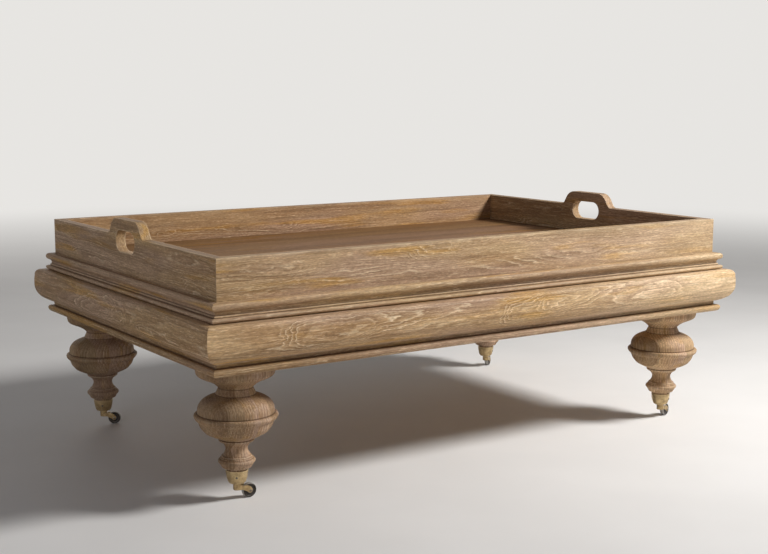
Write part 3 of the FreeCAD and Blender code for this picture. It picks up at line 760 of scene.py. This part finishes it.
# Sizes of the frame
tray_front_low, tray_front_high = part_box("tray_front_board")
HALF_LENGTH = tray_front_high.x
HALF_WIDTH = -tray_front_low.y
WALL = tray_front_high.y - tray_front_low.y
TRAY_BOTTOM = tray_front_low.z
TRAY_TOP = tray_front_high.z
RIM_GAP = 2 * MM


def side_frame(side):
    """Half length along a side, and the distance of the tray's face from the middle."""
    if side in ("front", "back"):
        return HALF_LENGTH, HALF_WIDTH
    return HALF_WIDTH, HALF_LENGTH


def side_wood(name, side, height, pith_back, pith_up, seed, **options):
    """Oak of a board along one side. The pith lies behind its face and above or below its middle."""
    face = side_frame(side)[1]
    out = rotation(SIDES[side], "Z", 3) @ Vector((0, -face, height))
    grain = "x" if side in ("front", "back") else "y"
    # After the turn to X, a board's outward direction is -Y at the front and the back's is +Y
    back = pith_back if side in ("front", "right") else -pith_back
    return wood("oak_" + name, grain, tuple(out), (back, pith_up), seed,
                figures=FIGURES.get(name, ()), **options)


# Place of the pith on each side of the rim: behind the face, and above the middle of the run
RIM_PITHS = {
    "front": (0.07, 0.012),
    "right": (0.055, -0.02),
    "back": (0.085, 0.02),
    "left": (0.062, 0.006),
}
# Runs of the rim: outline, gap to the tray, spacing of the rings, shift of the pith, painted shade on
# upward faces, tint, painted light on the far end of the front one, and seed
RIM_RUNS = {
    "base_moulding": (BASE_MOULDING_SHARES, 0, 3 * MM, 0.05, 0.2, (1, 1, 1), 0.35, 1.7),
    "frieze": (FRIEZE_SHARES, 0, 3.9 * MM, 0, 0, (1.12, 1.12, 1.13), 0.5, 0),
    "top_moulding": (TOP_MOULDING_SHARES, RIM_GAP, 3.2 * MM, -0.04, 0.35, (1, 1, 1), 0.35, 3.1),
}
# The other sides of the rim have this many times the painted shade on upward faces that the front has
OTHER_SIDES_TOP_SHADE = 2.4


def make_rim():
    """Base moulding, frieze and top moulding round the four sides."""
    lines = {}
    for kind, (shares, start, *_) in RIM_RUNS.items():
        low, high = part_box(kind + "_front")
        reach = -low.y - HALF_WIDTH
        if kind == "frieze":
            inset = high.y + HALF_WIDTH
            shares = [(-inset / reach, 0), *shares, (-inset / reach, 1)]
        line = share_outline(shares, reach - start, high.z - low.z, start, low.z)
        if kind == "frieze":
            # Its face bows past the shares, and the box of the frame holds it
            bowed = max(point.x for point in line)
            line = [Vector((point.x * reach / bowed, point.y)) for point in line]
        lines[kind] = (line, (low.z + high.z) / 2)
    for number, (side, (pith_back, pith_up)) in enumerate(RIM_PITHS.items()):
        front = side == "front"
        for kind, (line, middle) in lines.items():
            spacing, shift, top_shade, tint, bleach, seed = RIM_RUNS[kind][2:]
            name = f"{kind}_{side}"
            seed += number * 5.3
            # Front runs take painted light towards their far end, and the other sides more painted shade
            # on their upward faces
            material = side_wood(name, side, middle, pith_back, pith_up + shift, seed,
                                 spacing=spacing, tint=tint, bleach=bleach if front else 0)
            mitred_run(name, side, line, material, "table", seed,
                       top_shade if front else OTHER_SIDES_TOP_SHADE * top_shade)


def make_tray_boards():
    """Front and back boards of the tray."""
    line = cornered_outline([(-WALL, TRAY_BOTTOM), (0, TRAY_BOTTOM), (0, TRAY_TOP),
                             (-WALL, TRAY_TOP)])
    for side, seed, tint, bleach in (
            ("front", 41.3, (1, 1, 1), 0.35), ("back", 47.9, (0.86, 0.79, 0.74), 0)):
        name = f"tray_{side}_board"
        material = side_wood(name, side, (TRAY_BOTTOM + TRAY_TOP) / 2, 0.06, -0.03, seed,
                             tint=tint, bleach=bleach)
        mitred_run(name, side, line, material, "tray", seed, TRAY_TOP_SHADE)


def crown_line():
    """Outline of a tray end, anticlockwise seen from outside, with its handle crown."""
    half = HALF_WIDTH
    inner = half - WALL - 4 * MM
    right = [(x * MM, TRAY_TOP + z * MM, *bow) for x, z, *bow in CROWN]
    corners = [(-half, TRAY_BOTTOM), (-inner, TRAY_BOTTOM), (inner, TRAY_BOTTOM), (half, TRAY_BOTTOM),
               (half, TRAY_TOP), (inner, TRAY_TOP)]
    # Up the right side of the crown, which is its table read backwards, then down the left
    bows = [()] + [corner[2:] for corner in right[:-1]]
    corners += [corner[:2] + bow for corner, bow in reversed(list(zip(right, bows)))]
    corners += [(-x, *rest) for x, *rest in right]
    corners += [(-inner, TRAY_TOP), (-half, TRAY_TOP)]
    return cornered_outline(corners)


def slot_line():
    """Outline of the hand slot, clockwise, so that the wood stays on the left."""
    end = SLOT_HEIGHT / 2
    straight = SLOT_LENGTH / 2 - end
    middle = TRAY_TOP - SLOT_DROP
    line = []
    steps = 24
    for hand, start in ((1, 90), (-1, 270)):
        for number in range(steps + 1):
            angle = math.radians(start - 180 * number / steps)
            line.append(Vector((hand * straight + end * math.cos(angle), middle + end * math.sin(angle))))
    return line


def make_tray_end(side, seed):
    """An end of the tray, cut from one board with its handle."""
    name = f"tray_{side}_end"
    face = side_frame(side)[1]
    ease = ROUNDED_EDGE * 1.3
    margin = 2.5 * MM
    # Place through the thickness, distance sunk from the outline, and wear
    levels = [(0, ease + margin, 0), (0, ease, 0.55)]
    levels += [(ease * (1 - math.cos(math.radians(a))), ease * (1 - math.sin(math.radians(a))), 1)
               for a in (30, 60)]
    levels += [(ease, 0, 0.6), (ease + margin, 0, 0)]
    levels += [(WALL - depth, sunk, wear_and_shade) for depth, sunk, wear_and_shade in reversed(levels)]
    turn = rotation(SIDES[side], "Z", 3)
    maker = bmesh.new()
    wears_and_shades = []
    first_rings = []
    last_rings = []
    for number, line in enumerate((crown_line(), slot_line())):
        normals = normals_of(line)
        rings = []
        for depth, sunk, wear_and_shade in levels:
            ring = []
            for point, normal in zip(line, normals):
                moved = point - normal * sunk
                # Upward faces of the outer outline take painted shade
                top_shade = 0
                if number == 0 and not wear_and_shade and not sunk:
                    top_shade = TRAY_TOP_SHADE * max(0, normal.y) ** TOP_SHADE_POWER
                # The mitre shortens the board towards its inner face, and leaves a fine groove
                limit = HALF_WIDTH - depth - sunk * MITRE_EASE_SHARE
                x = max(-limit, min(limit, moved.x))
                height = max(TRAY_BOTTOM + sunk, moved.y)
                if abs(x) > CROWN[-1][0] * MM + margin:
                    height = min(TRAY_TOP - sunk, height)
                ring.append(maker.verts.new(turn @ Vector((x, depth - face, height))))
                wears_and_shades.append(wear_and_shade - top_shade)
            rings.append(ring)
        bridge(maker, rings)
        first_rings.append(rings[0])
        last_rings.append(rings[-1])
    for loops in (first_rings, last_rings):
        apart = [[vertex for number, vertex in enumerate(loop)
                  if (vertex.co - loop[number - 1].co).length > MERGE_DISTANCE] for loop in loops]
        flat = [[Vector((vertex.co.dot(turn.col[0]), vertex.co.z, 0)) for vertex in loop]
                for loop in apart]
        corners = [vertex for loop in apart for vertex in loop]
        for triangle in geometry.tessellate_polygon(flat):
            maker.faces.new([corners[number] for number in triangle])
    material = side_wood(name, side, (TRAY_BOTTOM + TRAY_TOP) / 2, 0.058, 0.03, seed)
    finished_piece(name, maker, wears_and_shades, "tray", material, (name,))


# Boards of the tray floor: their widths as shares, half the gap between two, how far their edges
# are eased, how far they waver, and how many steps they have across and along
FLOOR_WIDTHS = (0.164, 0.172, 0.158, 0.176, 0.166, 0.164)
FLOOR_HALF_GAP = 0.06 * MM
FLOOR_EASE = 0.6 * MM
FLOOR_WAVER = 0.14 * MM
FLOOR_STEPS = 9
FLOOR_STATIONS = 48
FLOOR_SEED_STEP = 11.7


def make_tray_floor():
    """Floor of the tray: boards side by side along its length, each with its own figure."""
    low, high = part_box("tray_floor")
    edge_x = HALF_LENGTH - WALL - 0.2 * MM
    edge_y = HALF_WIDTH - WALL - 0.2 * MM
    ease, slant = FLOOR_EASE, FLOOR_EASE * 0.35
    maker = bmesh.new()
    wears_and_shades = []
    boards = []
    start = -edge_y
    for number, share in enumerate(FLOOR_WIDTHS):
        end = start + share / sum(FLOOR_WIDTHS) * 2 * edge_y
        near, far = start + FLOOR_HALF_GAP, end - FLOOR_HALF_GAP
        inside = far - near - 2 * ease
        section = [(near, low.z), (near, high.z - ease), (near + slant, high.z - slant),
                   (near + ease, high.z)]
        section += [(near + ease + inside * step / FLOOR_STEPS, high.z) for step in range(1, FLOOR_STEPS)]
        section += [(far - ease, high.z), (far - slant, high.z - slant), (far, high.z - ease),
                    (far, low.z)]
        section_wears = [0, 0, 0.25, 0] + [0] * (FLOOR_STEPS - 1) + [0, 0.25, 0, 0]
        rings = []
        for station in range(FLOOR_STATIONS + 1):
            x = edge_x * (2 * station / FLOOR_STATIONS - 1)
            ring = []
            for place, height in section:
                sunk = 0
                if height > high.z - ease * 0.5:
                    sunk = (noise.noise(Vector((x * 3, place * 14, number * 7.7))) + 1) * FLOOR_WAVER
                ring.append(maker.verts.new((x, place, height - sunk)))
            rings.append(ring)
            wears_and_shades += section_wears
            boards += [number * FLOOR_SEED_STEP] * len(section)
        bridge(maker, rings)
        maker.faces.new(rings[0])
        maker.faces.new(rings[-1])
        start = end
    layer = maker.verts.layers.float.new("board")
    for vertex, board in zip(maker.verts, boards):
        vertex[layer] = board
    # The floor's dark tint is painted shade on boards that face up
    material = wood("oak_tray_floor", "x", (0, 0, (low.z + high.z) / 2), (0.02, -0.075), 61,
                    lime=0.8, sheen=0.1, tint=(0.47, 0.385, 0.315))
    finished_piece("tray_floor_boards", maker, wears_and_shades, "tray", material, ("tray_floor",))


# Each leg: place of its pith, along Y and then X since its grain runs up, and its tint, which also paints
# light and shade: paler on the front right leg, where the key lamp falls, and darker on the left legs,
# which stand in shade
LEG_PITHS_AND_SHADES = {
    "front_left": ((-0.072, 0.15), (0.82, 0.82, 0.89)),
    "front_right": ((-0.11, 0.12), (1.07, 1.08, 1.14)),
    "back_left": ((0.062, -0.14), (0.82, 0.84, 0.92)),
    "back_right": ((-0.086, 0.128), (0.9, 0.9, 0.94)),
}
STRIP_WIDTH = 30.5 * MM


def make_leg(corner, number):
    """A turned leg with its cup, the collar under the cup and the cup's screws."""
    low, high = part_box("leg_" + corner)
    centre = (low + high) / 2
    place = Matrix.Translation((centre.x, centre.y, 0))
    # The widest turn of the frame's mesh is the bead
    scale = (high.x - low.x) / 2 / LEG_BEAD_RADIUS
    up = (high.z - low.z) / (LEG_TOP_HEIGHT - LEG_FOOT_HEIGHT)
    line = row_outline(LEG_ROWS, scale, up, LEG_FOOT_HEIGHT, low.z)
    pith, tint = LEG_PITHS_AND_SHADES[corner]
    material = wood("oak_leg_" + corner, "z", tuple(centre), pith, 71 + number * 6.1, lime=0.62,
                    spacing=6.8 * MM, quiver=0.15, stripe=0.44, streak=0.2, colours=LEG_OAK,
                    tint=tint, strips=(STRIP_WIDTH, 1.64 + 0.37 * number))
    turned_piece("leg_" + corner, line, place, TURNING_STEPS, "table", material)
    low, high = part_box("caster_cup_" + corner)
    scale = (high.x - low.x) / 2 / CUP_RIM_RADIUS
    for name, rows, steps, body, metal_of, replaced in (
            ("caster_cup_", CUP_ROWS, 72, "table", BRASS, None),
            ("swivel_collar_", COLLAR_ROWS, 48, "caster_" + corner, FORK_BRASS, ())):
        line = row_outline(rows, scale, scale, CUP_BASE_HEIGHT, low.z, closed=True)
        turned_piece(name + corner, line, place, steps, body, metal_of, True, replaced)
    for screw, turn in enumerate((CUP_SCREW_TURNS[corner], CUP_SCREW_TURNS[corner] + 180), start=1):
        make_screw(f"cup_screw_{screw}_{corner}", centre, turn, 25 + 40 * screw + 17 * number)


def make_screw(name, centre, turn, slot_turn):
    """A small slotted screw head on the wall of a cup."""
    aim = (Matrix.Translation((centre.x, centre.y, CUP_SCREW_HEIGHT)) @ rotation(turn, "Z")
           @ Matrix.Translation((CUP_SCREW_OUT, 0, 0)) @ rotation(CUP_SCREW_LEAN, "Y")
           @ rotation(slot_turn, "Z"))
    maker = bmesh.new()
    radius, rise = CUP_SCREW_RADIUS, CUP_SCREW_RISE
    half_slot = radius * 0.16
    base = revolved(maker, [Vector((radius * 0.97, -rise)), Vector((radius * 0.97, rise * 0.3)),
                            Vector((0, rise * 0.3))], 28, aim)
    bridge(maker, base)
    wears_and_shades = [-0.6] * sum(len(ring) for ring in base)
    steps = 14
    for hand in (-1, 1):
        rings = []
        for share, height, wear_and_shade in ((1, -0.1, 0), (1, 0.35, 0.3), (0.93, 0.7, 0.8),
                                    (0.72, 0.92, 0.5), (0.4, 1, 0.3)):
            ring = []
            start = math.asin(half_slot / (radius * share))
            for step in range(steps + 1):
                angle = start + (math.pi - 2 * start) * step / steps
                point = Vector((radius * share * math.cos(angle),
                                hand * radius * share * math.sin(angle), rise * height))
                ring.append(maker.verts.new(aim @ point))
                wears_and_shades.append(wear_and_shade)
            rings.append(ring)
        bridge(maker, rings)
        maker.faces.new(rings[-1])
    finished_piece(name, maker, wears_and_shades, "table", SCREW_IRON)


def make_wheel(corner):
    """A wheel with a crowned tread and a hub, and its riveted axle."""
    low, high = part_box("caster_wheel_" + corner)
    # Turned about Z, then laid over so that its own axis is the fork's
    aim = (Matrix.Translation((low + high) / 2) @ rotation(CASTER_TURNS[corner], "Z")
           @ rotation(-90, "X"))
    line = row_outline(WHEEL_ROWS, MM, MM, 0, 0, closed=True)
    wears_and_shades = []
    for point in line:
        rim = max(0, min(1, (point.x - 14.1 * MM) / (1.2 * MM)))
        hub = 0.5 if point.x < 6.3 * MM and abs(point.y) > 6 * MM else 0
        wears_and_shades.append(max(rim, hub))
    turned_piece("caster_wheel_" + corner, line, aim, 64, "wheel_" + corner, IRON,
                 closed=True, wears_and_shades=wears_and_shades)
    line = row_outline(AXLE_ROWS, MM, MM, 0, 0)
    turned_piece("caster_axle_" + corner, line, aim, 32, "caster_" + corner,
                 AXLE_STEEL)


def dress_cad_node(node, material, ease):
    """Keeps a node of the frame, with eased edges and a material."""
    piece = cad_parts[node]
    piece.data.materials.clear()
    piece.data.materials.append(material)
    weld = piece.modifiers.new("weld", "WELD")
    weld.merge_threshold = 0.01 * MM
    bevel = piece.modifiers.new("bevel", "BEVEL")
    bevel.width = ease
    bevel.segments = 2
    bevel.limit_method = "ANGLE"
    bevel.angle_limit = math.radians(28)
    bevel.harden_normals = False
    even_normals(piece)


def dress_wood(name, node, grain, pith, seed, ease, **options):
    """Dresses a node of the frame in wood, with its grain along an axis."""
    low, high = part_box(node)
    material = wood(name, grain, tuple((low + high) / 2), pith, seed, **options)
    dress_cad_node(node, material, ease)


def dress_inside():
    """Deck, rails, battens, blocks and bolts, which show from below or with the tray lifted."""
    for number in range(1, 4):
        node = f"tray_batten_{number}"
        dress_wood("oak_" + node, node, "y", (0.03, 0.05), 90 + number, 0.8 * MM, lime=0.6)
    soft = {"colours": SOFTWOOD, "lime": 0.35}
    dress_wood("softwood_deck", "deck_panel", "x", (0.02, -0.22), 101, 0.6 * MM, spacing=7 * MM, **soft)
    for number in (1, 2):
        node = f"cross_rail_{number}"
        dress_wood("softwood_" + node, node, "y", (0.06, 0.02), 110 + number, 1.2 * MM, **soft)
    for number, corner in enumerate(CORNERS):
        node = "corner_block_" + corner
        dress_wood("softwood_" + node, node, "x", (0.03, 0.06), 120 + number * 3.3, 1.2 * MM, **soft)
        dress_cad_node("caster_fork_" + corner, FORK_BRASS, 0.35 * MM)
    for node in ("leg_bolts", "leg_washers", "leg_nuts"):
        dress_cad_node(node, BOLT_STEEL, 0.2 * MM)


# Colours of the floor's two tones, of the surround that the camera sees and of its faint light
FLOOR_TONES = ((0.76, 0.74, 0.715), (0.79, 0.77, 0.745))
SURROUND = (0.8, 0.785, 0.76)
SURROUND_LIGHT = (0.97, 0.96, 1)
SURROUND_STRENGTH = 0.095
FLOOR_REACH = 14
# Lamps: place, what it aims at, width, spread in degrees, power in watts and colour
LAMPS = {
    "key": ((2.5, -2.08, 2.69), (0.1, 0, 0.25), 1, 130, 99, (1, 1, 1)),
    "fill": ((-3.8, -1.7, 1.3), (0, 0, 0.3), 3, 180, 16, (0.86, 0.88, 1)),
    "back": ((0.9, 4.6, 2.2), (0, 0, 0.3), 3, 180, 13, (1, 0.98, 0.95)),
}


def make_stage():
    """Pale floor, a large key from the front right, two soft fills and a pale surround."""
    material, shader, surface = new_material("floor_paint")
    place = shader.object_place()
    speckle = shader.spread(shader.noise(place, (3, 3, 3), 3), 0.3, 0.7)
    tones = shader.mix(speckle, *(rgba(tone) for tone in FLOOR_TONES))
    shader.feed(surface, {"Base Color": tones, "Roughness": 0.7})
    # Far off the floor takes the tone of the surround, so that no horizon shows
    glow = shader.node("ShaderNodeEmission", {"Color": rgba(SURROUND)})
    far = shader.spread(shader.vector("LENGTH", place), 2.4, 6.5)
    both = shader.node("ShaderNodeMixShader", {0: far, 1: surface.outputs[0], 2: glow.outputs[0]})
    output = next(node for node in shader.tree.nodes if node.bl_idname == "ShaderNodeOutputMaterial")
    shader.feed(output, {"Surface": both.outputs[0]})
    maker = bmesh.new()
    maker.faces.new([maker.verts.new((x * FLOOR_REACH, y * FLOOR_REACH, 0))
                     for x, y in ((-1, -1), (1, -1), (1, 1), (-1, 1))])
    mesh = bpy.data.meshes.new("studio_floor")
    maker.to_mesh(mesh)
    maker.free()
    mesh.materials.append(material)
    floor = placed("studio_floor", mesh)

    for name, (spot, aim, size, spread, power, colour) in LAMPS.items():
        lamp = bpy.data.lights.new(name, "AREA")
        lamp.shape = "DISK"
        lamp.size = size
        lamp.energy = power
        lamp.color = colour
        lamp.spread = math.radians(spread)
        light = placed(name, lamp)
        light.location = spot
        light.rotation_euler = (Vector(aim) - Vector(spot)).to_track_quat("-Z", "Y").to_euler()

    world = bpy.data.worlds.new("surround")
    world.use_nodes = True
    bpy.context.scene.world = world
    tree = world.node_tree
    tree.nodes.clear()
    shader = Shader(tree)
    path = shader.node("ShaderNodeLightPath").outputs
    seen = shader.plus(path["Is Camera Ray"], path["Is Glossy Ray"])
    seen = shader.plus(seen, path["Is Transmission Ray"], clamp=True)
    fill, pale = (
        shader.node("ShaderNodeBackground", {"Color": rgba(colour), "Strength": strength}).outputs[0]
        for colour, strength in ((SURROUND_LIGHT, SURROUND_STRENGTH), (SURROUND, 1)))
    both = shader.node("ShaderNodeMixShader", {0: seen, 1: fill, 2: pale}).outputs[0]
    shader.node("ShaderNodeOutputWorld", {"Surface": both})


def aim_camera():
    data = bpy.data.cameras.new("camera")
    data.sensor_fit = "HORIZONTAL"
    data.sensor_width = SENSOR_WIDTH_MM
    data.lens = CAMERA_LENS_MM
    data.clip_start = 0.05
    camera = placed("camera", data)
    turn = rotation(-CAMERA_YAW, "Z") @ rotation(90 + CAMERA_PITCH, "X") @ rotation(CAMERA_ROLL, "Z")
    camera.matrix_world = Matrix.Translation(CAMERA_PLACE) @ turn
    bpy.context.scene.camera = camera


bpy.context.scene.view_settings.view_transform = "Standard"
aim_camera()
make_stage()
make_rim()
make_tray_boards()
make_tray_end("left", 53.1)
make_tray_end("right", 57.7)
make_tray_floor()
for order, name in enumerate(CORNERS):
    make_leg(name, order)
    make_wheel(name)
dress_inside()

bpy.context.view_layer.update()
